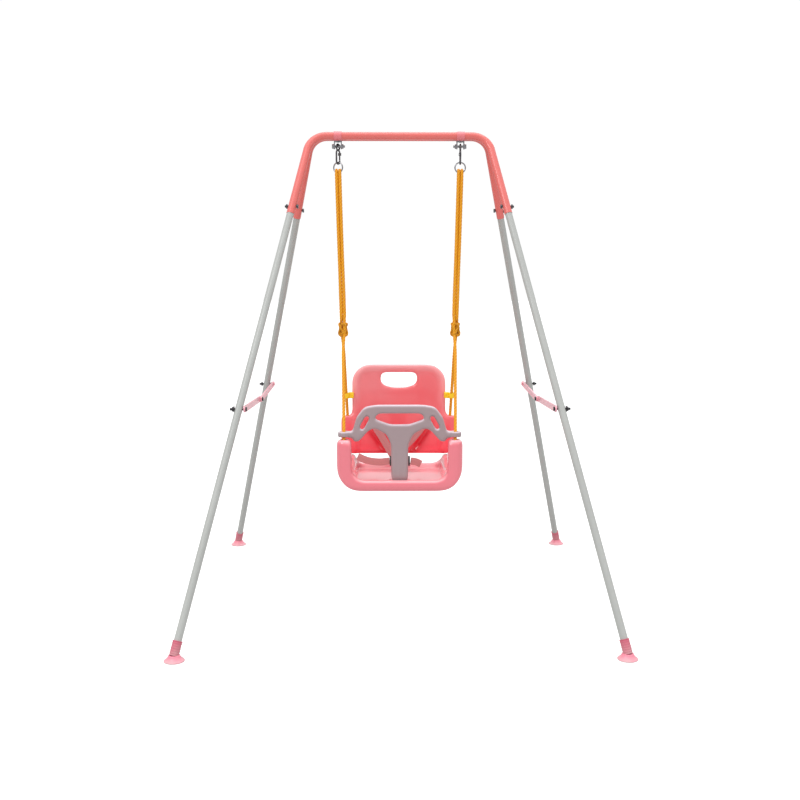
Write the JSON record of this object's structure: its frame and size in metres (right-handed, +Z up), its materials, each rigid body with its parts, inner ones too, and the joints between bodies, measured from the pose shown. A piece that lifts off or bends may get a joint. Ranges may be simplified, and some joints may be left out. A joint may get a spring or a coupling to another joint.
{
  "type": "swing set",
  "caption": "Toddler swing set: folding tube frame on splayed legs with suction feet, and a bucket seat with backrest and T-bar hung on ropes.",
  "frame": {"origin": "on the floor, midway between the four feet", "axes": "+Z up, +X along the top bars, the seat faces -Y"},
  "size_m": [1.0494, 1.0346, 1.2065],
  "materials": {
    "coral_tube": "gloss powder coat",
    "grey_tube": "satin powder coat",
    "coral_clamp": "gloss",
    "rose_sleeve": "satin",
    "pink_cup": "gloss, slightly soft",
    "zinc": "zinc plated",
    "dark_steel": "worn plating",
    "black_bolt": "black oxide",
    "brace_pink": "gloss powder coat",
    "ring_steel": "polished",
    "rope_orange": "braided, light sheen",
    "seat_pink": "gloss",
    "back_coral": "gloss",
    "bar_mauve": "semi-gloss",
    "clip_yellow": "gloss",
    "webbing": "woven",
    "buckle_black": "satin"
  },
  "bodies": {
    "front_frame": {"front_top_tube": "coral_tube", "front_left_upper_leg": "grey_tube", "front_right_upper_leg": "grey_tube", "front_left_lower_leg": "grey_tube", "front_right_lower_leg": "grey_tube", "front_left_sleeve": "rose_sleeve", "front_right_sleeve": "rose_sleeve", "front_left_cup": "pink_cup", "front_right_cup": "pink_cup", "front_joint_bolts": "dark_steel", "front_joint_nuts": "dark_steel", "left_bar_clamp": "coral_clamp", "right_bar_clamp": "coral_clamp", "left_hanger_bracket": "zinc", "right_hanger_bracket": "zinc", "bracket_screws": "zinc", "hanger_bolts": "dark_steel", "hanger_nuts": "dark_steel", "brace_front_bolts": "black_bolt", "brace_front_nuts": "black_bolt"},
    "rear_frame": {"rear_top_tube": "coral_tube", "rear_left_upper_leg": "grey_tube", "rear_right_upper_leg": "grey_tube", "rear_left_lower_leg": "grey_tube", "rear_right_lower_leg": "grey_tube", "rear_left_sleeve": "rose_sleeve", "rear_right_sleeve": "rose_sleeve", "rear_left_cup": "pink_cup", "rear_right_cup": "pink_cup", "rear_joint_bolts": "dark_steel", "rear_joint_nuts": "dark_steel", "brace_rear_bolts": "black_bolt"},
    "left_front_link": {"left_front_brace": "brace_pink", "left_brace_pin": "black_bolt"},
    "right_front_link": {"right_front_brace": "brace_pink", "right_brace_pin": "black_bolt"},
    "left_rear_link": {"left_rear_brace": "brace_pink"},
    "right_rear_link": {"right_rear_brace": "brace_pink"},
    "seat": {"left_snap_hook": "dark_steel", "right_snap_hook": "dark_steel", "left_ring": "ring_steel", "right_ring": "ring_steel", "left_rope": "rope_orange", "right_rope": "rope_orange", "left_wrap_knot": "rope_orange", "right_wrap_knot": "rope_orange", "rope_end_knots": "rope_orange", "seat_base": "seat_pink", "backrest": "back_coral", "rope_clips": "clip_yellow", "shoulder_straps": "webbing", "waist_strap": "webbing", "buckle_body": "buckle_black"},
    "t_bar": {"t_bar": "bar_mauve"},
    "left_gate": {"left_hook_gate": "dark_steel"},
    "right_gate": {"right_hook_gate": "dark_steel"},
    "buckle_tongue": {"buckle_tongue": "buckle_black", "strap_tail": "webbing"}
  },
  "joints": [
    {"name": "frame_fold", "type": "hinge", "parent": "front_frame", "child": "rear_frame", "pos_m": [0, 0.011, 1.195], "axis": [-1, 0, 0], "range_deg": [0, 40]},
    {"name": "left_front_brace_fold", "type": "hinge", "parent": "front_frame", "child": "left_front_link", "pos_m": [-0.37987, -0.28225, 0.53212], "axis": [-1, 0, 0], "range_deg": [0, 95]},
    {"name": "left_brace_middle", "type": "hinge", "parent": "left_front_link", "child": "left_rear_link", "pos_m": [-0.37987, 0, 0.52212], "axis": [1, 0, 0], "range_deg": [0, 161]},
    {"name": "right_front_brace_fold", "type": "hinge", "parent": "front_frame", "child": "right_front_link", "pos_m": [0.37987, -0.28225, 0.53212], "axis": [-1, 0, 0], "range_deg": [0, 95]},
    {"name": "right_brace_middle", "type": "hinge", "parent": "right_front_link", "child": "right_rear_link", "pos_m": [0.37987, 0, 0.52212], "axis": [1, 0, 0], "range_deg": [0, 161]},
    {"name": "seat_swing", "type": "hinge", "parent": "front_frame", "child": "seat", "pos_m": [0, 0, 1.17], "axis": [1, 0, 0], "range_deg": [-40, 40]},
    {"name": "t_bar_lift", "type": "slide", "parent": "seat", "child": "t_bar", "axis": [0, 0.4371, 0.8994], "range_m": [0, 0.08]},
    {"name": "left_gate_open", "type": "hinge", "parent": "seat", "child": "left_gate", "pos_m": [-0.15225, 0.00649, 1.1501], "axis": [-0.866, 0.5, 0], "range_deg": [0, 25], "stiffness_Nm_per_rad": 0.02, "springref_deg": -17.19},
    {"name": "right_gate_open", "type": "hinge", "parent": "seat", "child": "right_gate", "pos_m": [0.156, 0.0075, 1.1501], "axis": [-1, 0, 0], "range_deg": [0, 25], "stiffness_Nm_per_rad": 0.02, "springref_deg": -17.19},
    {"name": "buckle_release", "type": "slide", "parent": "seat", "child": "buckle_tongue", "axis": [1, 0, 0], "range_m": [0, 0.018]}
  ],
  "couplings": [
    {"joint": "left_front_brace_fold", "follows": "frame_fold", "ratio": 2.3629},
    {"joint": "left_brace_middle", "follows": "frame_fold", "ratio": 4.0048},
    {"joint": "right_front_brace_fold", "follows": "frame_fold", "ratio": 2.3629},
    {"joint": "right_brace_middle", "follows": "frame_fold", "ratio": 4.0048}
  ]
}
